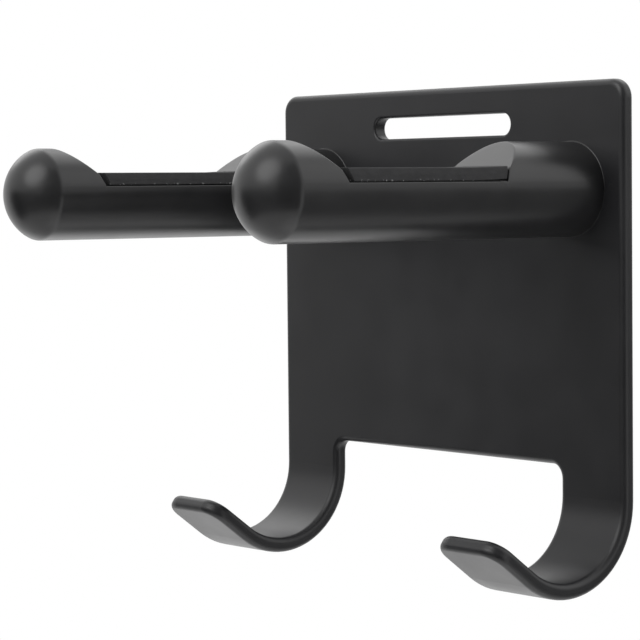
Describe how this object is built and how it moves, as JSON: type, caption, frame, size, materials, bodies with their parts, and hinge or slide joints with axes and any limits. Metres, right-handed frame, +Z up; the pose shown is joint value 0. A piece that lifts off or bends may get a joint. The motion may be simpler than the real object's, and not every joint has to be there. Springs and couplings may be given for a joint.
{
  "type": "hair dryer holder",
  "caption": "Black wall holder for a hair dryer: a bent plate with a screw slot, round pegs with padded saddles, and curled hooks below.",
  "frame": {"origin": "on the wall face, midway between the pegs and level with their axes", "axes": "+X to the right seen from the front, +Y into the wall, +Z up"},
  "size_m": [0.1, 0.0785, 0.0933],
  "materials": {
    "powder_coated_steel": "satin",
    "coated_aluminium": "satin",
    "pad_rubber": "matte",
    "adhesive_film": "satin",
    "screw_steel": "satin"
  },
  "bodies": {
    "root": {"back_plate": "powder_coated_steel", "left_peg": "coated_aluminium", "right_peg": "coated_aluminium", "left_pad": "pad_rubber", "right_pad": "pad_rubber", "left_pad_film": "adhesive_film", "right_pad_film": "adhesive_film", "left_peg_screw": "screw_steel", "right_peg_screw": "screw_steel"}
  },
  "joints": []
}
